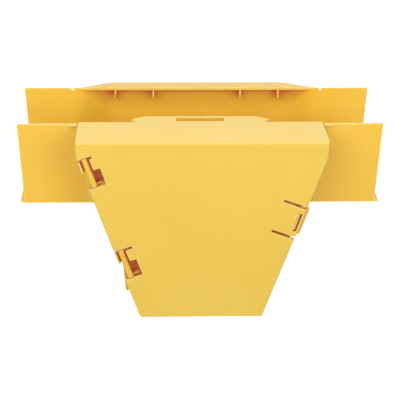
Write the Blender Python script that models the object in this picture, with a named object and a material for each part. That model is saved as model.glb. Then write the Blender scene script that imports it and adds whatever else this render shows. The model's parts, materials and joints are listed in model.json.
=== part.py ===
# Fibre raceway fitting: an open channel that spills over its front wall into a funnel, with a hinged front cover.
# X runs along the channel, +Y points to the back wall, +Z is up.
# The origin is on the underside of the channel floor, at mid length and mid width.

import math

import bmesh
import bpy
from mathutils import Matrix, Vector

MM = 0.001

# Channel
CHANNEL_WIDTH = 158 * MM
CHANNEL_HEIGHT = 108 * MM
WALL = 3 * MM
END_SLANT = 7.1 * MM  # how much shorter the walls are at the bottom of each end
FLOOR_TONGUE = 5.2 * MM  # how far the floor stands out of the walls' bottom corners
PLAIN_END = 64.5 * MM  # length of wall that a coupler takes, up to the lips

# Back wall bulge and its lip
BULGE_DEPTH = 25 * MM
BULGE_RUN = 57 * MM  # length of each S-curve
BACK_LIP_THICKNESS = 3.4 * MM
BACK_LIP_INSET = 1.7 * MM  # lip's straight edge from the plain wall's outer face
NOTCH_WIDTH = 2.4 * MM
NOTCH_DEPTH = 3.6 * MM
RIB_INSETS = (0, 52 * MM)  # in from each end of the bulge's flat back
RIB_THICKNESS = 2 * MM
RIB_FRONT_HEIGHT = 11.5 * MM
RIB_BACK_HEIGHT = 20 * MM
RIB_SET_BACK = 0.5 * MM  # rib's front behind the lip's edge

# Front lip
FRONT_LIP_LENGTH = 12.2 * MM
FRONT_LIP_HEIGHT = 3 * MM
FRONT_LIP_DEPTH = 2 * MM

# Drop chute
BACK_BEND_RADIUS = 45 * MM  # floor rolling down into the back plate
SIDE_BEND_RADIUS = 24 * MM  # floor rolling down into the side walls
FLARE_RADIUS_LOW = 24 * MM  # front wall turning forward into the side walls, at floor level
FLARE_RADIUS_HIGH = 6 * MM
SIDE_INSET = 4.5 * MM  # side wall's outer face from the cover's edge
FLARE_LAP = 0.2  # share of its radius that a flare runs into both walls
SPILL_LAP = 1 * MM  # how far the chute runs up into the floor
FINE_LAP = 0.2 * MM  # how far pieces run into each other where a longer lap would show

# Front cover
COVER_PROUD = 77 * MM  # cover face in front of the front wall
COVER_RISE = 1 * MM  # top plate above the channel's walls
COVER_SHOULDER = 19.6 * MM  # length of the upright sides, down to where they start to slant
COVER_BOTTOM = -129 * MM
COVER_HALF_TOP = 157.8 * MM
COVER_SIDE_TAPER = 1.3 * MM  # how much narrower the top plate is at its rear, on each side
FOOT_INSET = 0.3 * MM  # foot of the cover inside the raceway's width, on each side
COVER_THICKNESS = 3 * MM
COVER_EDGE_RADIUS = 2.6 * MM
COVER_KINK_RADIUS = 30 * MM
COVER_CORNER_RADIUS = 6 * MM  # bottom corner on the hinge side
EDGE_STEPS = 5  # facets of the rounded front edge
COVER_RIM_DEPTH = 8 * MM
COVER_REAR = 5.3 * MM  # top plate's rear edge behind the front wall's outer face
COVER_GAP = 0.5 * MM  # cover to body, all round
LIP_GAP = 2.3 * MM  # lip's end to the cover's side edge, which moves out a little as it opens

# Rear ledge of the cover
LEDGE_DEPTH = 23.2 * MM
LEDGE_HALF_FLAT = 66.4 * MM
LEDGE_HALF_TIP = 89 * MM
LEDGE_TIP_DEPTH = 10.3 * MM
LEDGE_TIP_UNDERCUT = 9 * MM
WINDOW_HALF_WIDTH = 31 * MM
WINDOW_FAR_RIM = 2.7 * MM
WINDOW_DEPTH = 17.4 * MM

# Hinges, measured along the slanted edge from the kink and inboard from the edge
HINGE_STARTS = (4.2 * MM, 135 * MM)
HINGE_CUT_LENGTH = 41.5 * MM
FINGER_LENGTH = 15.5 * MM
HINGE_SLIT = 3.4 * MM
HINGE_SLIT_REACHES = (19 * MM, 24.4 * MM)
WINDOW_INBOARD = 24 * MM
CUT_CORNER = 1.2 * MM
FINGER_INBOARD = 15.3 * MM
TAB_WIDTH = 2.7 * MM
AXIS_INBOARD = 8.6 * MM
PIN_RADIUS = 3.75 * MM
PIN_END_GAP = 0.8 * MM
PIN_FACE_GAP = 0.25 * MM  # pin's front behind the cover's face
STRAP_THICKNESS = 2.2 * MM
STRAP_GAP = 0.45 * MM  # strap's floor to the pin
STRAP_CORNER = 4 * MM
SWING_GAP = 0.8 * MM
TAB_BEVEL = 1.3 * MM
STRAP_LAP = 1 * MM  # how far the finger runs into the cover's face
HINGE_SHELF = 2.5 * MM
HINGE_SHELF_INBOARD = 21 * MM
HINGE_SHELF_DEPTH = 17 * MM
HINGE_SHELF_SET_BACK = 0.6 * MM
HINGE_FIN = 2.5 * MM
HINGE_FIN_LENGTH = 41.3 * MM
HINGE_FIN_REACH = 6.2 * MM  # fin's foot past the cover's edge
HINGE_FIN_SET_BACK = 0.4 * MM
PIN_SIDES = 32

# Latch, measured the same way along the other edge
LATCH_MIDDLE = 94.7 * MM
LATCH_TONGUE = 39.4 * MM
LATCH_SLIT = 3.7 * MM
LATCH_SLIT_INBOARD = 32 * MM
LATCH_LIP = 2.2 * MM  # thickness of the finger lip behind the tongue's rim
LATCH_LIP_REACH = 4.6 * MM  # lip past the cover's edge
LATCH_LIP_CORNER = 2.5 * MM
LATCH_LIP_LAP = 0.6 * MM  # how far the lip runs into the rim
LATCH_LIP_RAISE = 2.4 * MM  # lip over the upper slit
SLOT_LENGTH = 25.3 * MM
SLOT_NEAR = 3 * MM
SLOT_FAR = 7.9 * MM
TOOTH_THICKNESS = 2.4 * MM
TOOTH_BELOW_FACE = 1.8 * MM
CATCH_LEDGE_SET_BACK = 1.5 * MM
CATCH_LEDGE_MARGIN = 7.5 * MM

ARC_STEPS = 8
SMALL_ARC_STEPS = 4
SMOOTH_ANGLE = 30  # degrees; sharper edges stay sharp
FLAT_ANGLE = 0.001  # radians; faces that meet flatter than this are one
WELD = 0.001 * MM  # corners nearer than this are one
ROUND = 0.5  # profile of a rounded edge that is part of a circle
OVER = 5 * MM  # how far a cutter runs past what it cuts
FLUSH = "MANIFOLD"  # solver for pieces whose faces lie flush, where EXACT leaves open edges

LAP = WALL / 2  # how far joined solids run into each other
FRONT_WALL = -CHANNEL_WIDTH / 2
BACK_WALL = CHANNEL_WIDTH / 2
FACE = FRONT_WALL - COVER_PROUD
CHUTE_DEPTH = CHANNEL_HEIGHT  # the drop takes the same raceway as the channel, turned down
COVER_TOP = CHANNEL_HEIGHT + COVER_RISE
COVER_KINK = COVER_TOP - COVER_SHOULDER
COVER_HALF_BACK = COVER_HALF_TOP - COVER_SIDE_TAPER
COVER_HALF_BOTTOM = CHANNEL_WIDTH / 2 - FOOT_INSET
LIP_START = COVER_HALF_BACK + LIP_GAP
CHANNEL_LENGTH = 2 * (LIP_START + FRONT_LIP_LENGTH + PLAIN_END)
BULGE_START = CHANNEL_LENGTH / 2 - PLAIN_END - NOTCH_WIDTH  # from mid length
SLANT = math.atan2(COVER_HALF_TOP - COVER_HALF_BOTTOM, COVER_KINK - COVER_BOTTOM)
AXIS_DEPTH = PIN_RADIUS + PIN_FACE_GAP
COVER_UNDERSIDE = COVER_TOP - COVER_THICKNESS
BODY_TOP_UNDER_COVER = COVER_UNDERSIDE - COVER_GAP
BODY_FRONT = FACE + COVER_THICKNESS + COVER_GAP
CHUTE_BACK = FACE + CHUTE_DEPTH
SWING_RADIUS = math.hypot(AXIS_INBOARD, max(AXIS_DEPTH, COVER_RIM_DEPTH - AXIS_DEPTH))
HINGE_WALL_FRONT = FACE + AXIS_DEPTH + SWING_RADIUS + SWING_GAP

# Local X, Y and Z of each drawing plane, as columns
PLAN = Matrix.Identity(4)
FRONT_VIEW = Matrix(((1, 0, 0, 0), (0, 0, -1, 0), (0, 1, 0, 0), (0, 0, 0, 1)))
SIDE_VIEW = Matrix(((0, 0, 1, 0), (1, 0, 0, 0), (0, 1, 0, 0), (0, 0, 0, 1)))


def clear_scene():
    for old in list(bpy.data.objects):
        bpy.data.objects.remove(old, do_unlink=True)


def new_collection(name):
    collection = bpy.data.collections.new(name)
    bpy.context.scene.collection.children.link(collection)
    return collection


def plastic(name, colour, roughness):
    material = bpy.data.materials.new(name)
    material.use_nodes = True
    shader = material.node_tree.nodes["Principled BSDF"]
    shader.inputs["Base Color"].default_value = (*colour, 1)
    shader.inputs["Roughness"].default_value = roughness
    shader.inputs["Metallic"].default_value = 0
    return material


def helper(name, mesh):
    """A construction solid, seen as wire and left out of the render."""
    obj = bpy.data.objects.new(name, mesh)
    construction.objects.link(obj)
    obj.hide_render = True
    obj.display_type = "WIRE"
    return obj


def flat_piece(name, outline, frame, low, high):
    """The outline, drawn in the frame's own XY plane, extruded from low to high along its Z."""
    curve = bpy.data.curves.new(name + "_outline", "CURVE")
    curve.dimensions = "2D"
    curve.fill_mode = "BOTH"
    curve.extrude = (high - low) / 2
    spline = curve.splines.new("POLY")
    spline.points.add(len(outline) - 1)
    for point, (a, b) in zip(spline.points, outline):
        point.co = (a, b, 0, 1)
    spline.use_cyclic_u = True
    drawn = bpy.data.objects.new(name + "_outline", curve)
    construction.objects.link(drawn)
    graph = bpy.context.evaluated_depsgraph_get()
    mesh = bpy.data.meshes.new_from_object(drawn.evaluated_get(graph))
    mesh.transform(frame @ Matrix.Translation((0, 0, (low + high) / 2)))
    bpy.data.objects.remove(drawn, do_unlink=True)
    tidy_mesh(mesh)
    mesh.name = name
    return helper(name, mesh)


def tidy_mesh(mesh):
    """Welds the caps to the sides and turns the faces out."""
    shape = bmesh.new()
    shape.from_mesh(mesh)
    bmesh.ops.remove_doubles(shape, verts=shape.verts, dist=WELD)
    bmesh.ops.recalc_face_normals(shape, faces=shape.faces)
    shape.to_mesh(mesh)
    shape.free()


def block(name, low, high):
    mesh = bpy.data.meshes.new(name)
    shape = bmesh.new()
    bmesh.ops.create_cube(shape, size=1)
    middle = (Vector(low) + Vector(high)) / 2
    size = Vector(high) - Vector(low)
    bmesh.ops.scale(shape, vec=size, verts=shape.verts)
    bmesh.ops.translate(shape, vec=middle, verts=shape.verts)
    shape.to_mesh(mesh)
    shape.free()
    return helper(name, mesh)


def combine(target, operation, others, solver="EXACT"):
    for other in others:
        modifier = target.modifiers.new(other.name, "BOOLEAN")
        modifier.operation = operation
        modifier.solver = solver
        modifier.object = other
    return target


def arc(centre, radius, start, end, steps=ARC_STEPS):
    """Points on an arc, with angles in radians."""
    angles = [start + (end - start) * k / steps for k in range(steps + 1)]
    return [(centre[0] + radius * math.cos(a), centre[1] + radius * math.sin(a)) for a in angles]


def rounded(before, corner, after, radius, steps=ARC_STEPS):
    """Points of the arc that rounds a corner of an outline."""
    corner = Vector(corner)
    to_before = (Vector(before) - corner).normalized()
    to_after = (Vector(after) - corner).normalized()
    half = to_before.angle(to_after) / 2
    start = corner + to_before * (radius / math.tan(half))
    centre = corner + (to_before + to_after).normalized() * (radius / math.sin(half))
    first = start - centre
    turn = math.pi - 2 * half
    if to_before.x * to_after.y - to_before.y * to_after.x > 0:
        turn = -turn
    points = []
    for k in range(steps + 1):
        spin = Matrix.Rotation(turn * k / steps, 2)
        points.append(tuple(centre + spin @ first))
    return points


def side_x(z, inset):
    """Half width at height z, set in from the cover's edge at a right angle to it."""
    slanted = COVER_HALF_BOTTOM + (z - COVER_BOTTOM) * math.tan(SLANT) - inset / math.cos(SLANT)
    return min(slanted, COVER_HALF_TOP - inset)


def kink_z(inset):
    rise = (COVER_HALF_TOP - inset - COVER_HALF_BOTTOM + inset / math.cos(SLANT)) / math.tan(SLANT)
    return COVER_BOTTOM + rise


def filleted(corners, steps=SMALL_ARC_STEPS):
    """Points of an outline given as (x, y, radius), where a radius of 0 leaves the corner sharp."""
    points = []
    for k, (x, y, radius) in enumerate(corners):
        before = corners[k - 1][:2]
        after = corners[(k + 1) % len(corners)][:2]
        points += rounded(before, (x, y), after, radius, steps) if radius else [(x, y)]
    return points


def mirrored(half):
    """A closed outline from its right half, listed bottom to top."""
    return half + [(-x, z) for x, z in reversed(half)]


def funnel_outline(inset, bottom, top):
    half = [
        (side_x(bottom, inset), bottom),
        (COVER_HALF_TOP - inset, kink_z(inset)),
        (COVER_HALF_TOP - inset, top),
    ]
    return mirrored(half)


def bulge_half(offset):
    """Right half of the back wall seen from above, its face moved in by offset."""
    points = [(CHANNEL_LENGTH / 2 + (OVER if offset else 0), BACK_WALL - offset)]
    steps = 2 * ARC_STEPS
    for k in range(steps + 1):
        share = k / steps
        slope = -BULGE_DEPTH * math.pi / 2 * math.sin(math.pi * share) / BULGE_RUN
        x = BULGE_START - BULGE_RUN * share
        y = BACK_WALL + BULGE_DEPTH * (1 - math.cos(math.pi * share)) / 2
        length = math.hypot(1, slope)
        points.append((x + offset * slope / length, y - offset / length))
    return points


def channel_outline(offset):
    end = CHANNEL_LENGTH / 2 + (OVER if offset else 0)
    right = bulge_half(offset)
    left = [(-x, y) for x, y in reversed(right)]
    return [(-end, FRONT_WALL + offset), (end, FRONT_WALL + offset)] + right + left


def spill_front_outline(offset):
    """Front view of the part of the chute under the floor, rolled out to the floor at each side."""
    bottom = COVER_BOTTOM - (OVER if offset else 0)
    top = offset + SPILL_LAP
    inset = SIDE_INSET + offset
    radius = SIDE_BEND_RADIUS + offset
    centre_z = offset - radius
    corner = side_x(offset, inset)
    centre_x = corner + radius * (1 - math.sin(SLANT)) / math.cos(SLANT)
    bend = arc((centre_x, centre_z), radius, math.pi - SLANT, math.pi / 2)
    half = [(side_x(bottom, inset), bottom)] + bend + [(bend[-1][0], top)]
    return mirrored(half)


def spill_side_outline(offset):
    """Side view of the same part, rolled back to the floor behind."""
    bottom = COVER_BOTTOM - (OVER if offset else 0)
    top = offset + SPILL_LAP
    radius = BACK_BEND_RADIUS - WALL + offset
    back = CHUTE_BACK - offset
    bend = arc((back + radius, offset - radius), radius, math.pi, math.pi / 2)
    front = FRONT_WALL + offset
    return [(front, bottom), (back, bottom)] + bend + [(bend[-1][0], top), (front, top)]


def spill(name, offset):
    """The chute under the floor, as one solid: its front view crossed with its side view."""
    front = flat_piece(name, spill_front_outline(offset), FRONT_VIEW, -CHANNEL_WIDTH, CHANNEL_WIDTH)
    side = flat_piece(name + "_side", spill_side_outline(offset), SIDE_VIEW, -CHANNEL_LENGTH, CHANNEL_LENGTH)
    return combine(front, "INTERSECT", [side])


def flare(name, side, offset, low, high):
    """Fills the corner of front wall and side wall up to an arc, drawn at a radius of 1 and then scaled."""
    inset = SIDE_INSET + offset
    kink = kink_z(SIDE_INSET)

    def radius_at(z):
        share = min(z / kink, 1)
        return FLARE_RADIUS_LOW + (FLARE_RADIUS_HIGH - FLARE_RADIUS_LOW) * share + offset

    outline = arc((1, -1), 1, math.pi / 2, math.pi)
    outline += [(-FLARE_LAP, -1), (-FLARE_LAP, FLARE_LAP), (1, FLARE_LAP)]
    piece = flat_piece(name, outline, PLAN, low, high)
    for vertex in piece.data.vertices:
        radius = radius_at(vertex.co.z)
        across = side_x(vertex.co.z, inset) + vertex.co.x * radius
        vertex.co = (side * across, FRONT_WALL + offset + vertex.co.y * radius, vertex.co.z)
    tidy_mesh(piece.data)
    return piece


def flares(offset, low, high):
    """Both flares, each in a slanted stretch and an upright one above the kink."""
    kink = kink_z(SIDE_INSET)
    pieces = []
    for side, word in ((-1, "left"), (1, "right")):
        pieces.append(flare(f"flare_{word}_low_{offset:.3f}", side, offset, low, kink + FINE_LAP))
        pieces.append(flare(f"flare_{word}_high_{offset:.3f}", side, offset, kink - FINE_LAP, high))
    return pieces


def edge_frame(side):
    """Frame of the slanted edge on one side: X inboard, Y down the slant, from the kink at the face."""
    inboard = Vector((-side * math.cos(SLANT), 0, math.sin(SLANT)))
    along = Vector((-side * math.sin(SLANT), 0, -math.cos(SLANT)))
    frame = Matrix.Identity(4)
    for column, axis in enumerate((inboard, along, inboard.cross(along))):
        frame.col[column][:3] = axis
    frame.translation = (side * COVER_HALF_TOP, FACE, COVER_KINK)
    return frame


def edge_plate(name, side, outline, near, far):
    """A plate drawn on the slanted edge's face, between two depths behind the face."""
    if side < 0:
        return flat_piece(name, outline, edge_frame(side), near, far)
    return flat_piece(name, outline, edge_frame(side), -far, -near)


def rectangle(low_a, high_a, low_b, high_b):
    return [(low_a, low_b), (high_a, low_b), (high_a, high_b), (low_a, high_b)]


def body_envelope():
    """Outside of the channel and the chute, as one solid."""
    outside = flat_piece("outside", channel_outline(0), PLAN, 0, CHANNEL_HEIGHT)
    funnel = flat_piece(
        "outside_funnel",
        funnel_outline(SIDE_INSET, COVER_BOTTOM, BODY_TOP_UNDER_COVER),
        FRONT_VIEW,
        -(FRONT_WALL + LAP),
        -BODY_FRONT,
    )
    parts = [funnel, spill("outside_spill", 0)] + flares(0, 0, BODY_TOP_UNDER_COVER)
    return combine(outside, "UNION", parts, FLUSH)


def body_hollow():
    """Inside of the channel and the chute, open above, below, in front and at both ends."""
    over = CHANNEL_HEIGHT + OVER
    hollow = flat_piece("hollow", channel_outline(WALL), PLAN, WALL, over)
    funnel = flat_piece(
        "hollow_funnel",
        funnel_outline(SIDE_INSET + WALL, COVER_BOTTOM - OVER, over),
        FRONT_VIEW,
        -(FRONT_WALL + WALL + LAP),
        -(BODY_FRONT - OVER),
    )
    parts = [funnel, spill("hollow_spill", WALL)] + flares(WALL, WALL, over)
    return combine(hollow, "UNION", parts, FLUSH)


def back_lip():
    """Flat lip over the bulge: a straight inner edge, and an outer edge that follows the wall."""
    outer = [point for point in bulge_half(0) if point[0] <= BULGE_START]
    outer[0] = (BULGE_START, BACK_WALL)
    inner_y = BACK_WALL - BACK_LIP_INSET
    outline = [(-BULGE_START, inner_y), (BULGE_START, inner_y)] + outer
    outline += [(-x, y) for x, y in reversed(outer)]
    low = CHANNEL_HEIGHT - BACK_LIP_THICKNESS
    return flat_piece("back_lip", outline, PLAN, low, CHANNEL_HEIGHT)


def lip_ribs():
    """Ribs that carry the lip, deeper at the wall than at the lip's edge."""
    under = CHANNEL_HEIGHT - BACK_LIP_THICKNESS
    top = under + BACK_LIP_THICKNESS / 2
    front = BACK_WALL - BACK_LIP_INSET + RIB_SET_BACK
    back = BACK_WALL + BULGE_DEPTH - LAP
    outline = [
        (front, under - RIB_FRONT_HEIGHT),
        (back, under - RIB_BACK_HEIGHT),
        (back, top),
        (front, top),
    ]
    ribs = []
    for inset in RIB_INSETS:
        place = BULGE_START - BULGE_RUN - inset
        for x in (-place, place):
            low = x - RIB_THICKNESS / 2
            high = x + RIB_THICKNESS / 2
            ribs.append(flat_piece(f"rib_{x * 1000:.0f}", outline, SIDE_VIEW, low, high))
    return ribs


def front_lips():
    """Thicker top of the front wall, between the cover and each plain end."""
    low = CHANNEL_HEIGHT - FRONT_LIP_HEIGHT
    lips = []
    for side in (-1, 1):
        ends = sorted((side * LIP_START, side * (LIP_START + FRONT_LIP_LENGTH)))
        lips.append(
            block(
                f"front_lip_{side}",
                (ends[0], FRONT_WALL - FRONT_LIP_DEPTH, low),
                (ends[1], FRONT_WALL + LAP, CHANNEL_HEIGHT),
            )
        )
    return lips


def hinge_pin(number, start, end):
    """Pin of one hinge, along the slanted edge."""
    mesh = bpy.data.meshes.new(f"pin_{number}")
    shape = bmesh.new()
    bmesh.ops.create_cone(
        shape,
        cap_ends=True,
        segments=PIN_SIDES,
        radius1=PIN_RADIUS,
        radius2=PIN_RADIUS,
        depth=end - start,
    )
    turn = Matrix.Rotation(-math.pi / 2, 4, "X")
    middle = Matrix.Translation((AXIS_INBOARD, (start + end) / 2, AXIS_DEPTH))
    bmesh.ops.transform(shape, matrix=edge_frame(-1) @ middle @ turn, verts=shape.verts)
    bmesh.ops.recalc_face_normals(shape, faces=shape.faces)
    shape.to_mesh(mesh)
    shape.free()
    return helper(f"pin_{number}", mesh)


def hinge_fin(number, top):
    """Outer fin that braces one hinge, widest at its level foot."""
    foot = top + HINGE_FIN_LENGTH
    inner = SIDE_INSET + LAP
    outline = [
        (inner, top),
        (SIDE_INSET, top),
        (-HINGE_FIN_REACH, foot),
        (inner, foot + (inner + HINGE_FIN_REACH) * math.tan(SLANT)),
    ]
    front = HINGE_WALL_FRONT - FACE + HINGE_FIN_SET_BACK
    return edge_plate(f"fin_{number}", -1, outline, front, front + HINGE_FIN)


def hinge_ears():
    """For each hinge: the side wall reaching forward, its pin, a shelf, a guard and a fin."""
    reach = HINGE_WALL_FRONT - FACE + WALL
    shelf_front = AXIS_DEPTH + PIN_RADIUS + HINGE_SHELF_SET_BACK
    shelf_rear = shelf_front + HINGE_SHELF_DEPTH
    guard_front = shelf_rear - HINGE_SHELF
    parts = []
    for number, start in enumerate(HINGE_STARTS, 1):
        pin_top = start + PIN_END_GAP
        pin_end = start + HINGE_CUT_LENGTH - PIN_END_GAP
        ear_top = start + HINGE_SLIT + FINGER_LENGTH + PIN_END_GAP
        ear = rectangle(SIDE_INSET, SIDE_INSET + WALL, ear_top, pin_end)
        shelf = rectangle(SIDE_INSET + LAP, HINGE_SHELF_INBOARD, pin_end - HINGE_SHELF, pin_end)
        guard = rectangle(SIDE_INSET + LAP, WINDOW_INBOARD, ear_top, pin_end)
        parts.append(edge_plate(f"ear_{number}", -1, ear, AXIS_DEPTH, reach))
        parts.append(edge_plate(f"shelf_{number}", -1, shelf, shelf_front, shelf_rear))
        parts.append(edge_plate(f"guard_{number}", -1, guard, guard_front, shelf_rear))
        parts.append(hinge_pin(number, pin_top, pin_end))
        parts.append(hinge_fin(number, ear_top))
    return parts


def latch_catch():
    """The tooth that stands in the slot of the latch tongue, and the ledge that closes it behind."""
    half = SLOT_LENGTH / 2 - COVER_GAP
    far = SLOT_FAR - COVER_GAP
    near = far - TOOTH_THICKNESS
    tooth = rectangle(near, far, LATCH_MIDDLE - half, LATCH_MIDDLE + half)
    half = SLOT_LENGTH / 2 + CATCH_LEDGE_MARGIN
    near = COVER_THICKNESS + COVER_GAP
    ledge = rectangle(near, SIDE_INSET + LAP, LATCH_MIDDLE - half, LATCH_MIDDLE + half)
    ledge_front = BODY_FRONT - FACE + CATCH_LEDGE_SET_BACK
    return [
        edge_plate("latch_tooth", 1, tooth, TOOTH_BELOW_FACE, BODY_FRONT - FACE + WALL),
        edge_plate("latch_ledge", 1, ledge, ledge_front, ledge_front + WALL),
    ]


def end_cutters(side, word):
    """Slants the walls' end, leaves the floor's tongue, and notches the back wall where the lip ends."""
    end = CHANNEL_LENGTH / 2
    foot = end - END_SLANT
    over = end + OVER
    lean = END_SLANT * OVER / (CHANNEL_HEIGHT - WALL)
    outline = [
        (foot, WALL),
        (over, WALL),
        (over, CHANNEL_HEIGHT + OVER),
        (end + lean, CHANNEL_HEIGHT + OVER),
    ]
    outline = [(side * x, z) for x, z in outline]
    wall_cut = flat_piece(f"end_cut_{word}", outline, FRONT_VIEW, -CHANNEL_WIDTH, CHANNEL_WIDTH)
    spans = sorted((side * (foot + FLOOR_TONGUE), side * over))
    floor_cut = block(
        f"floor_cut_{word}", (spans[0], -CHANNEL_WIDTH, -OVER), (spans[1], CHANNEL_WIDTH, WALL + FINE_LAP)
    )
    spans = sorted((side * BULGE_START, side * (BULGE_START + NOTCH_WIDTH)))
    notch = block(
        f"notch_{word}",
        (spans[0], BACK_WALL - OVER, CHANNEL_HEIGHT - NOTCH_DEPTH),
        (spans[1], BACK_WALL + OVER, CHANNEL_HEIGHT + OVER),
    )
    return [wall_cut, floor_cut, notch]


def cover_room():
    """Room for the cover over the front wall, and for the swing of its hinge side."""
    rear = FRONT_WALL + COVER_REAR + COVER_GAP
    high = COVER_TOP + OVER
    over_wall = block(
        "cover_room",
        (-LIP_START, FACE - OVER, BODY_TOP_UNDER_COVER),
        (LIP_START, rear, high),
    )
    swing = block(
        "swing_room",
        (-CHANNEL_LENGTH / 2, FACE - OVER, COVER_BOTTOM - OVER),
        (0, HINGE_WALL_FRONT, high),
    )
    return [over_wall, swing]


def make_body(material):
    """The channel with its chute, moulded in one piece."""
    body = body_envelope()
    combine(body, "DIFFERENCE", [body_hollow()], FLUSH)
    combine(body, "UNION", [back_lip()] + lip_ribs() + front_lips(), FLUSH)
    cutters = end_cutters(-1, "left") + end_cutters(1, "right") + cover_room()
    combine(body, "DIFFERENCE", cutters, FLUSH)
    combine(body, "UNION", hinge_ears() + latch_catch(), FLUSH)
    return finished(body, "raceway_body", material)


def cover_outline(inset, bottom):
    """Front view of the cover, or of its inside when it is set in."""
    top = COVER_TOP - inset
    kink = (COVER_HALF_TOP - inset, kink_z(inset))
    foot = (side_x(bottom, inset), bottom)
    head = (COVER_HALF_TOP - inset, top)
    bend = rounded(foot, kink, head, COVER_KINK_RADIUS)
    right = [foot] + bend + [head]
    left = [(-x, z) for x, z in reversed(right)]
    if inset == 0:
        left[-1:] = rounded(left[-2], left[-1], (0, bottom), COVER_CORNER_RADIUS)
    return right + left


def cover_shell():
    """Face and top plate in one bent sheet, with a short rim down both sides."""
    rear = FRONT_WALL + COVER_REAR
    shell = flat_piece("cover_shell", cover_outline(0, COVER_BOTTOM), FRONT_VIEW, -rear, -FACE)
    shape = bmesh.new()
    shape.from_mesh(shell.data)
    bmesh.ops.dissolve_limit(
        shape, angle_limit=FLAT_ANGLE, verts=shape.verts, edges=shape.edges, use_dissolve_boundaries=False
    )
    front = [
        edge
        for edge in shape.edges
        if all(abs(vertex.co.y - FACE) < WELD for vertex in edge.verts)
    ]
    bmesh.ops.bevel(
        shape, geom=front, offset=COVER_EDGE_RADIUS, segments=EDGE_STEPS, profile=ROUND, affect="EDGES"
    )
    shape.to_mesh(shell.data)
    shape.free()
    inside = flat_piece(
        "cover_inside",
        cover_outline(COVER_THICKNESS, COVER_BOTTOM - OVER),
        FRONT_VIEW,
        -(rear + OVER),
        -(FACE + COVER_THICKNESS),
    )
    behind_rim = block(
        "behind_rim",
        (-CHANNEL_LENGTH, FACE + COVER_RIM_DEPTH, COVER_BOTTOM - OVER),
        (CHANNEL_LENGTH, rear + OVER, COVER_UNDERSIDE),
    )
    taper = [
        (-COVER_HALF_TOP - OVER, FACE - OVER),
        (COVER_HALF_TOP + OVER, FACE - OVER),
        (COVER_HALF_TOP, FACE + COVER_RIM_DEPTH),
        (COVER_HALF_BACK, rear + OVER),
        (-COVER_HALF_BACK, rear + OVER),
        (-COVER_HALF_TOP, FACE + COVER_RIM_DEPTH),
    ]
    sides = flat_piece("cover_taper", taper, PLAN, COVER_BOTTOM - OVER, COVER_TOP + OVER)
    combine(shell, "DIFFERENCE", [inside, behind_rim])
    return combine(shell, "INTERSECT", [sides])


def cover_ledge():
    """Rear ledge on the top plate, with pointed tips and a window for the channel lid's catch."""
    rear = FRONT_WALL + COVER_REAR
    tip = (LEDGE_HALF_TIP, rear + LEDGE_TIP_DEPTH)
    flat = (LEDGE_HALF_FLAT, rear + LEDGE_DEPTH)
    right = [(LEDGE_HALF_TIP - LEDGE_TIP_UNDERCUT, rear - COVER_THICKNESS)]
    right += [(LEDGE_HALF_TIP - LEDGE_TIP_UNDERCUT, rear), tip]
    for k in range(1, ARC_STEPS + 1):
        share = k / ARC_STEPS
        x = tip[0] + (flat[0] - tip[0]) * share
        right.append((x, tip[1] + (flat[1] - tip[1]) * math.sin(share * math.pi / 2)))
    outline = right + [(-x, y) for x, y in reversed(right)]
    ledge = flat_piece("cover_ledge", outline, PLAN, COVER_UNDERSIDE, COVER_TOP)
    far = rear + LEDGE_DEPTH - WINDOW_FAR_RIM
    window = block(
        "ledge_window",
        (-WINDOW_HALF_WIDTH, far - WINDOW_DEPTH, COVER_UNDERSIDE - OVER),
        (WINDOW_HALF_WIDTH, far, COVER_TOP + OVER),
    )
    return ledge, window


def hinge_cut(number, start, slit_reach):
    """Cut for one hinge: a slit over the finger, the pin's gap beside it and the open window below."""
    finger_top = start + HINGE_SLIT
    finger_end = finger_top + FINGER_LENGTH
    cut_end = start + HINGE_CUT_LENGTH
    outline = filleted(
        [
            (-OVER, start, 0),
            (slit_reach, start, CUT_CORNER),
            (slit_reach, finger_top, CUT_CORNER),
            (FINGER_INBOARD, finger_top, CUT_CORNER),
            (FINGER_INBOARD, finger_end, CUT_CORNER),
            (WINDOW_INBOARD, finger_end, CUT_CORNER),
            (WINDOW_INBOARD, cut_end, CUT_CORNER),
            (-OVER, cut_end, 0),
        ]
    )
    return edge_plate(f"hinge_cut_{number}", -1, outline, -OVER, COVER_RIM_DEPTH + OVER)


def hinge_strap(number, start):
    """Strap of one hinge, from the finger round behind the pin and out to the tab at the edge."""
    finger_top = start + HINGE_SLIT
    low = AXIS_DEPTH + PIN_RADIUS + STRAP_GAP
    bottom = low + STRAP_THICKNESS
    outer = FINGER_INBOARD + STRAP_THICKNESS
    root = WINDOW_INBOARD + STRAP_LAP
    inner_corner = STRAP_CORNER - STRAP_THICKNESS
    section = filleted(
        [
            (0, 0, TAB_BEVEL),
            (TAB_WIDTH, 0, 0),
            (TAB_WIDTH, low, inner_corner),
            (FINGER_INBOARD, low, inner_corner),
            (FINGER_INBOARD, 0, 0),
            (root, 0, 0),
            (root, COVER_THICKNESS, 0),
            (outer, COVER_THICKNESS, 0),
            (outer, bottom, STRAP_CORNER),
            (0, bottom, STRAP_CORNER),
        ]
    )
    frame = edge_frame(-1)
    across = Matrix.Identity(4)
    for column, axis in enumerate((frame.col[0], frame.col[2], -frame.col[1])):
        across.col[column][:3] = axis.xyz
    across.translation = frame.translation
    end = finger_top + FINGER_LENGTH
    return flat_piece(f"hinge_strap_{number}", section, across, -end, -finger_top)


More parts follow.
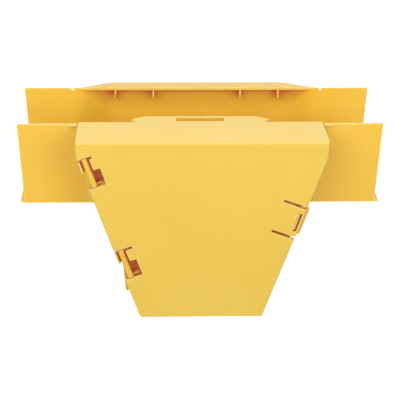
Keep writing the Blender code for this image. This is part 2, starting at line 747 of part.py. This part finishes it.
def latch_cuts():
    """The slits on both sides of the latch tongue, and the slot that takes the catch."""
    deep = COVER_RIM_DEPTH + OVER
    half = LATCH_SLIT / 2
    cuts = []
    for word, turn in (("upper", -1), ("lower", 1)):
        middle = LATCH_MIDDLE + turn * (LATCH_TONGUE + LATCH_SLIT) / 2
        tip = (LATCH_SLIT_INBOARD - half, middle)
        outline = [(-OVER, middle - half)] + arc(tip, half, -math.pi / 2, math.pi / 2)
        outline.append((-OVER, middle + half))
        cuts.append(edge_plate(f"latch_slit_{word}", 1, outline, -OVER, deep))
    half = SLOT_LENGTH / 2
    slot = rectangle(SLOT_NEAR, SLOT_FAR, LATCH_MIDDLE - half, LATCH_MIDDLE + half)
    cuts.append(edge_plate("latch_slot", 1, slot, -OVER, deep))
    return cuts


def latch_lip():
    """Finger lip behind the tongue's rim, standing out past the cover's edge and its upper slit."""
    inner = COVER_THICKNESS - LATCH_LIP_LAP
    top = LATCH_MIDDLE - LATCH_TONGUE / 2 - LATCH_LIP_RAISE
    foot = LATCH_MIDDLE + LATCH_TONGUE / 2 - LATCH_LIP_RAISE
    outline = filleted(
        [
            (-LATCH_LIP_REACH, top, LATCH_LIP_CORNER),
            (inner, top, 0),
            (inner, foot, 0),
            (-LATCH_LIP_REACH, foot, LATCH_LIP_CORNER),
        ]
    )
    front = COVER_RIM_DEPTH - LATCH_LIP_LAP
    return edge_plate("latch_lip", 1, outline, front, front + LATCH_LIP)


def make_cover(material):
    """The front cover, moulded in one piece with its hinge straps and its latch tongue."""
    cover = cover_shell()
    ledge, window = cover_ledge()
    combine(cover, "UNION", [ledge], FLUSH)
    cuts = [window] + latch_cuts()
    fittings = [latch_lip()]
    for number, (start, slit_reach) in enumerate(zip(HINGE_STARTS, HINGE_SLIT_REACHES), 1):
        cuts.append(hinge_cut(number, start, slit_reach))
        fittings.append(hinge_strap(number, start))
    combine(cover, "DIFFERENCE", cuts, FLUSH)
    combine(cover, "UNION", fittings, FLUSH)
    return finished(cover, "front_cover", material)


def finished(solid, name, material):
    """A piece of the object, as one mesh, from a construction solid and its Boolean steps."""
    graph = bpy.context.evaluated_depsgraph_get()
    mesh = bpy.data.meshes.new_from_object(solid.evaluated_get(graph))
    mesh.name = name
    mesh.materials.clear()
    mesh.materials.append(material)
    mesh.shade_smooth()
    mesh.set_sharp_from_angle(angle=math.radians(SMOOTH_ANGLE))
    piece = bpy.data.objects.new(name, mesh)
    fitting.objects.link(piece)
    return piece


def hinge_pivot():
    """An empty on the hinge line, which carries the cover."""
    frame = edge_frame(-1)
    middle = sum(HINGE_STARTS) / len(HINGE_STARTS) + HINGE_CUT_LENGTH / 2
    pivot = bpy.data.objects.new("cover_hinge_line", None)
    fitting.objects.link(pivot)
    pivot.matrix_world = frame @ Matrix.Translation((AXIS_INBOARD, middle, AXIS_DEPTH))
    return pivot


def hang_on(piece, pivot):
    piece.parent = pivot
    piece.matrix_parent_inverse = pivot.matrix_world.inverted()


clear_scene()
fitting = new_collection("fibre_raceway_fitting")
construction = new_collection("construction")
yellow = plastic("body_yellow_plastic", (0.83, 0.49, 0.07), 0.42)
cover_yellow = plastic("cover_yellow_plastic", (0.86, 0.55, 0.10), 0.42)
make_body(yellow)
hang_on(make_cover(cover_yellow), hinge_pivot())
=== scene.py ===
# Fibre raceway fitting: two yellow mouldings on white, lit like a catalogue picture.
import json
import math

import bmesh
import bpy
from mathutils import Matrix, Vector
from mathutils.bvhtree import BVHTree

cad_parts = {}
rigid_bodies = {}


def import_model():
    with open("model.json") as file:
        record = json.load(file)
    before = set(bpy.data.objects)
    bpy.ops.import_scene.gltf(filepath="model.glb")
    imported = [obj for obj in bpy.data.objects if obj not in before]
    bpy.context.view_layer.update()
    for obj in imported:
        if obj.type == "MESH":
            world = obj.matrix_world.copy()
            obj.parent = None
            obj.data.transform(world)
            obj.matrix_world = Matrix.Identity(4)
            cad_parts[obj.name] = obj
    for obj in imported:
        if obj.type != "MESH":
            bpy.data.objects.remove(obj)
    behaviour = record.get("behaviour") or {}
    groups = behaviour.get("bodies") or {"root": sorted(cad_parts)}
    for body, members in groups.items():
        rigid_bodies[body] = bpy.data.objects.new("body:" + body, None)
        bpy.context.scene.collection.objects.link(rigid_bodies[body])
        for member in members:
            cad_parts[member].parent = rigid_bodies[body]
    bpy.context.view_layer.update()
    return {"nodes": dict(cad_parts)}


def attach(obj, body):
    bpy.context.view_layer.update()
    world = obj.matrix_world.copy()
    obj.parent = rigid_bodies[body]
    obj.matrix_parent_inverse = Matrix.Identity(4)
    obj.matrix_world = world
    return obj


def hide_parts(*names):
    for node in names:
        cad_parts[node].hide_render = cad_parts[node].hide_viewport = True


for old in list(bpy.data.objects):
    bpy.data.objects.remove(old, do_unlink=True)

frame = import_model()
scene = bpy.context.scene
print("stage: frame loaded")


# Each colour is three numbers or another node's output.
def mixColour(tree, low, high, factor):
    mix = tree.nodes.new("ShaderNodeMix")
    mix.data_type = "RGBA"
    for socket, colour in ((mix.inputs["A"], low), (mix.inputs["B"], high)):
        if isinstance(colour, tuple):
            socket.default_value = (*colour, 1)
        else:
            tree.links.new(colour, socket)
    tree.links.new(factor, mix.inputs["Factor"])
    return mix.outputs["Result"]


def noise(tree, coords, scale, detail, roughness=0.5):
    node = tree.nodes.new("ShaderNodeTexNoise")
    node.inputs["Scale"].default_value = scale
    node.inputs["Detail"].default_value = detail
    node.inputs["Roughness"].default_value = roughness
    tree.links.new(coords, node.inputs["Vector"])
    return node.outputs["Fac"]


def mapRange(tree, value, fromLow, fromHigh, toLow, toHigh):
    node = tree.nodes.new("ShaderNodeMapRange")
    node.inputs["From Min"].default_value = fromLow
    node.inputs["From Max"].default_value = fromHigh
    node.inputs["To Min"].default_value = toLow
    node.inputs["To Max"].default_value = toHigh
    tree.links.new(value, node.inputs["Value"])
    return node.outputs["Result"]


# How shut in a place is, from 0 in the open to 1, judged by what stands within reach of it.
# With within set, it is judged by the plastic behind the surface instead.
def shutIn(tree, look, reach, shares, within=False):
    node = tree.nodes.new("ShaderNodeAmbientOcclusion")
    node.samples = look["shutSamples"]
    node.inside = within
    node.inputs["Distance"].default_value = look[reach]
    return mapRange(tree, node.outputs["AO"], *look[shares], 0.0, 1.0)


# Satin moulded plastic: faint flow tints, a fine spark-eroded grain and slightly uneven gloss, with a
# painted highlight along folds and rims and painted shade in gaps and the closed drop.
def mouldedPlastic(name, look):
    material = bpy.data.materials.new(name)
    material.use_nodes = True
    tree = material.node_tree
    shader = tree.nodes["Principled BSDF"]
    coords = tree.nodes.new("ShaderNodeTexCoord").outputs["Object"]

    flow = noise(tree, coords, look["flowScale"], look["flowDetail"])
    speck = noise(tree, coords, look["speckScale"], look["speckDetail"])
    tint = mapRange(tree, flow, *look["flowSpan"], 0.0, 1.0)
    base = mixColour(tree, look["deep"], look["pale"], tint)

    # painted highlight: folds and rims, where little plastic lies behind the surface, are painted paler in
    # place of the light line along them
    paintedHighlight = shutIn(tree, look, "highlightReach", "highlightShares", within=True)
    base = mixColour(tree, base, look["paintedHighlightTint"], paintedHighlight)

    # painted shade: narrow gaps and the closed drop are painted a deep orange red, the colour of the dim
    # light that has crossed the plastic to reach them
    paintedShade = tree.nodes.new("ShaderNodeMath")
    paintedShade.operation = "MAXIMUM"
    tree.links.new(shutIn(tree, look, "gapReach", "gapShares"), paintedShade.inputs[0])
    tree.links.new(shutIn(tree, look, "hollowReach", "hollowShares"), paintedShade.inputs[1])
    base = mixColour(tree, base, look["paintedShadeTint"], paintedShade.outputs["Value"])
    tree.links.new(base, shader.inputs["Base Color"])

    gloss = mapRange(tree, speck, *look["speckSpan"], look["roughLow"], look["roughHigh"])
    tree.links.new(gloss, shader.inputs["Roughness"])

    grain = noise(tree, coords, look["grainScale"], look["grainDetail"], look["grainFade"])
    sink = noise(tree, coords, look["sinkScale"], look["sinkDetail"])
    bumpFine = tree.nodes.new("ShaderNodeBump")
    bumpFine.inputs["Strength"].default_value = look["grainStrength"]
    bumpFine.inputs["Distance"].default_value = look["grainDepth"]
    tree.links.new(grain, bumpFine.inputs["Height"])
    softEdge = tree.nodes.new("ShaderNodeBevel")
    softEdge.samples = look["edgeSamples"]
    softEdge.inputs["Radius"].default_value = look["softEdge"]
    tree.links.new(softEdge.outputs["Normal"], bumpFine.inputs["Normal"])
    bumpBroad = tree.nodes.new("ShaderNodeBump")
    bumpBroad.inputs["Strength"].default_value = look["sinkStrength"]
    bumpBroad.inputs["Distance"].default_value = look["sinkDepth"]
    tree.links.new(sink, bumpBroad.inputs["Height"])
    tree.links.new(bumpFine.outputs["Normal"], bumpBroad.inputs["Normal"])
    tree.links.new(bumpBroad.outputs["Normal"], shader.inputs["Normal"])

    shader.inputs["IOR"].default_value = look["ior"]
    shader.inputs["Subsurface Weight"].default_value = look["glow"]
    shader.inputs["Subsurface Radius"].default_value = look["glowRadius"]
    shader.inputs["Subsurface Scale"].default_value = look["glowScale"]
    return material


coverLook = {
    "deep": (0.795, 0.535, 0.067),
    "pale": (0.815, 0.558, 0.081),
    "flowScale": 9.0,
    "flowDetail": 3.0,
    "flowSpan": (0.3, 0.7),  # noise values where the pale tint starts, and where it is full
    "speckScale": 60.0,
    "speckDetail": 2.0,
    "speckSpan": (0.25, 0.75),
    "roughLow": 0.33,
    "roughHigh": 0.41,
    "grainScale": 1500.0,
    "grainDetail": 2.0,
    "grainFade": 0.6,
    "grainStrength": 0.25,
    "grainDepth": 0.00004,
    "sinkScale": 14.0,
    "sinkDetail": 1.0,
    "sinkStrength": 0.15,
    "sinkDepth": 0.0006,
    "shutSamples": 8,
    "highlightReach": 0.0022,
    "highlightShares": (0.94, 0.70),  # open share where the tint starts, and where it is full
    "paintedHighlightTint": (0.86, 0.63, 0.17),
    "gapReach": 0.04,
    "gapShares": (0.62, 0.32),
    "hollowReach": 0.20,
    "hollowShares": (0.32, 0.18),
    "paintedShadeTint": (0.82, 0.26, 0.110),
    "edgeSamples": 6,
    "softEdge": 0.0009,
    "ior": 1.50,
    "glow": 0.18,
    "glowRadius": (1.0, 0.40, 0.06),
    "glowScale": 0.005,
}
# The body is painted a little deeper and more orange than the cover, though both are one plastic: painted
# shade for the channel walls that stand back beside the cover.
bodyLook = dict(coverLook, deep=(0.808, 0.503, 0.045), pale=(0.828, 0.527, 0.056))

coverPlastic = mouldedPlastic("cover_yellow_satin", coverLook)
bodyPlastic = mouldedPlastic("body_yellow_satin", bodyLook)
print("stage: plastics mixed")


# A moulding's real edges are never sharp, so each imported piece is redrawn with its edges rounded.
mouldEdges = {
    "weldDistance": 0.000002,
    "flatAngle": 0.6,  # degrees; flatter joints between facets are one face
    "sharpAngle": 28.0,  # degrees; sharper edges are rounded
    "foldAngle": 140.0,  # degrees; a joint sharper than this is a fold
    "radius": 0.00045,
    "steps": 2,
    "easeReach": 0.0025,  # edges this near to a crossing stay sharp
    "tries": 8,
    "faceWeight": 100,  # of 100, how far the larger faces rule the shading
}


# The middles of faces that cross another one, and of folded edges.
def crossings(shape):
    test = shape.copy()
    bmesh.ops.triangulate(test, faces=test.faces)
    test.faces.ensure_lookup_table()
    tree = BVHTree.FromBMesh(test)
    places = []
    for first, second in tree.overlap(tree):
        faceA, faceB = test.faces[first], test.faces[second]
        if first < second and not set(faceA.verts) & set(faceB.verts):
            places.append(faceA.calc_center_median())
    for edge in test.edges:
        if edge.is_manifold and edge.calc_face_angle() > math.radians(mouldEdges["foldAngle"]):
            places.append((edge.verts[0].co + edge.verts[1].co) / 2)
    test.free()
    return places


def distanceTo(edge, place):
    start, end = (vert.co for vert in edge.verts)
    run = end - start
    share = max(0.0, min(1.0, (place - start).dot(run) / run.length_squared))
    return (start + share * run - place).length


# Rounds every sharp edge that has the room; where that would make faces cross, the nearest edges stay sharp.
def roundEdges(shape):
    sharp = [
        edge.index for edge in shape.edges
        if edge.is_manifold and edge.calc_face_angle() > math.radians(mouldEdges["sharpAngle"])
    ]
    for attempt in range(1, mouldEdges["tries"] + 1):
        rounded = shape.copy()
        rounded.edges.ensure_lookup_table()
        bmesh.ops.bevel(
            rounded,
            geom=[rounded.edges[index] for index in sharp],
            offset=mouldEdges["radius"],
            offset_type="OFFSET",
            segments=mouldEdges["steps"],
            profile=0.5,
            affect="EDGES",
            clamp_overlap=False,
        )
        crowded = set()
        for place in crossings(rounded):
            near = sorted((distanceTo(shape.edges[index], place), index) for index in sharp)
            crowded |= {index for gap, index in near[:2] if gap < mouldEdges["easeReach"]}
        if not crowded or attempt == mouldEdges["tries"]:
            print("edges rounded:", len(sharp), "at try", attempt)
            return rounded
        sharp = [index for index in sharp if index not in crowded]
        rounded.free()


def roundedMoulding(name, node, body, material):
    shape = bmesh.new()
    shape.from_mesh(frame["nodes"][node].data)
    bmesh.ops.remove_doubles(shape, verts=shape.verts, dist=mouldEdges["weldDistance"])
    bmesh.ops.dissolve_limit(
        shape,
        angle_limit=math.radians(mouldEdges["flatAngle"]),
        verts=shape.verts,
        edges=shape.edges,
    )
    shape.edges.ensure_lookup_table()
    rounded = roundEdges(shape)
    shape.free()
    mesh = bpy.data.meshes.new(name)
    rounded.to_mesh(mesh)
    rounded.free()
    mesh.materials.clear()
    mesh.materials.append(material)
    mesh.shade_smooth()
    mesh.set_sharp_from_angle(angle=math.radians(mouldEdges["sharpAngle"]))
    piece = bpy.data.objects.new(name, mesh)
    scene.collection.objects.link(piece)
    evenNormals = piece.modifiers.new("even_normals", "WEIGHTED_NORMAL")  # keeps the flat faces flat
    evenNormals.keep_sharp = True
    evenNormals.weight = mouldEdges["faceWeight"]
    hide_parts(node)
    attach(piece, body)


roundedMoulding("channel_moulding", "raceway_body", "body", bodyPlastic)
roundedMoulding("cover_moulding", "front_cover", "cover", coverPlastic)
print("stage: mouldings rounded")


def rectangleLight(name, look):
    lamp = bpy.data.lights.new(name, "AREA")
    lamp.shape = "RECTANGLE"
    lamp.size, lamp.size_y = look["size"]
    lamp.energy = look["watts"]
    lamp.color = look["colour"]
    holder = bpy.data.objects.new(name, lamp)
    holder.visible_camera = False
    scene.collection.objects.link(holder)
    place = Vector(look["place"])
    aim = Vector(look["aim"]) - place
    holder.location = place
    holder.rotation_euler = aim.to_track_quat("-Z", "Y").to_euler()


# The edge softbox hangs close above the front, for the light along the cover's fold and in the channel.
lights = {
    "key_softbox": {
        "place": (-1.0, -2.9, 1.35), "aim": (0.0, 0.0, 0.0), "size": (2.2, 1.4),
        "watts": 39.5, "colour": (1.0, 1.0, 1.0),
    },
    "fill_softbox": {
        "place": (1.4, -2.8, 0.95), "aim": (0.0, 0.0, 0.0), "size": (1.8, 1.4),
        "watts": 34.0, "colour": (1.0, 1.0, 1.0),
    },
    "side_softbox": {
        "place": (-2.6, -0.8, 0.9), "aim": (0.0, 0.0, 0.0), "size": (1.8, 1.6),
        "watts": 14.0, "colour": (1.0, 1.0, 1.0),
    },
    "edge_softbox": {
        "place": (0.0, -0.34, 0.62), "aim": (0.0, 0.0, 0.1), "size": (1.5, 0.16),
        "watts": 2.5, "colour": (1.0, 1.0, 1.0),
    },
    "top_softbox": {
        "place": (0.0, 0.9, 2.0), "aim": (0.0, 0.0, 0.0), "size": (2.6, 1.6),
        "watts": 12.5, "colour": (1.0, 1.0, 1.0),
    },
    "back_wall": {
        "place": (0.0, 3.2, 1.3), "aim": (0.0, 0.0, 0.0), "size": (5.0, 3.0),
        "watts": 52.0, "colour": (1.0, 1.0, 1.0),
    },
}
for lightName, lightLook in lights.items():
    rectangleLight(lightName, lightLook)

# The room lights the part softly, and what is seen of it is plain white.
room = {"colour": (1.0, 1.0, 1.0), "strength": 0.20, "seen": 1.0}
world = bpy.data.worlds.new("white_room")
scene.world = world
world.use_nodes = True
roomTree = world.node_tree
background = roomTree.nodes["Background"]
background.inputs["Color"].default_value = (*room["colour"], 1)
seen = roomTree.nodes.new("ShaderNodeLightPath").outputs["Is Camera Ray"]
roomGlow = mapRange(roomTree, seen, 0.0, 1.0, room["strength"], room["seen"])
roomTree.links.new(roomGlow, background.inputs["Strength"])
print("stage: lights placed")


# Pale floor, well below, lit like a light table so that it shows white and without a shadow.
floorLook = {
    "height": -0.75,
    "halfSide": 9.0,
    "squares": 8,
    "colour": (0.80, 0.80, 0.80),
    "roughness": 0.8,
    "seen": 1.0,
}


def paleFloor():
    bpy.ops.mesh.primitive_grid_add(
        x_subdivisions=floorLook["squares"],
        y_subdivisions=floorLook["squares"],
        size=2 * floorLook["halfSide"],
        location=(0, 0, floorLook["height"]),
    )
    floor = bpy.context.object
    floor.name = "pale_floor"
    material = bpy.data.materials.new("pale_floor_paint")
    material.use_nodes = True
    shader = material.node_tree.nodes["Principled BSDF"]
    shader.inputs["Base Color"].default_value = (*floorLook["colour"], 1)
    shader.inputs["Roughness"].default_value = floorLook["roughness"]
    shader.inputs["Emission Color"].default_value = (1, 1, 1, 1)
    path = material.node_tree.nodes.new("ShaderNodeLightPath")
    glow = mapRange(material.node_tree, path.outputs["Is Camera Ray"], 0.0, 1.0, 0.0, floorLook["seen"])
    material.node_tree.links.new(glow, shader.inputs["Emission Strength"])
    floor.data.materials.append(material)


paleFloor()
print("stage: floor laid")

# Camera at the photograph's angle.
cameraLook = {
    "place": (-0.0734, -2.0268, 0.7593),
    "yaw": 2.159,  # degrees, as are pitch and roll
    "pitch": 21.195,
    "roll": 0.568,
    "focalPixels": 1603.1,
    "framePixels": 400,
    "sensor": 36.0,  # millimetres
    "nearest": 0.01,
    "farthest": 50,
}


def photoCamera():
    yaw, pitch, roll = (math.radians(cameraLook[key]) for key in ("yaw", "pitch", "roll"))
    forward = Vector((
        math.sin(yaw) * math.cos(pitch), math.cos(yaw) * math.cos(pitch), -math.sin(pitch),
    ))
    level = Vector((math.cos(yaw), -math.sin(yaw), 0))
    upright = level.cross(forward)
    right = math.cos(roll) * level + math.sin(roll) * upright
    up = -math.sin(roll) * level + math.cos(roll) * upright
    pose = Matrix.Identity(4)
    for column, axis in enumerate((right, up, -forward)):
        pose.col[column][:3] = axis
    pose.translation = cameraLook["place"]
    data = bpy.data.cameras.new("photo_camera")
    data.sensor_width = cameraLook["sensor"]
    data.lens = cameraLook["sensor"] * cameraLook["focalPixels"] / cameraLook["framePixels"]
    data.clip_start = cameraLook["nearest"]
    data.clip_end = cameraLook["farthest"]
    camera = bpy.data.objects.new("photo_camera", data)
    scene.collection.objects.link(camera)
    camera.matrix_world = pose
    scene.camera = camera


photoCamera()
scene.view_settings.view_transform = "Standard"
scene.view_settings.look = "None"
print("stage: camera set")
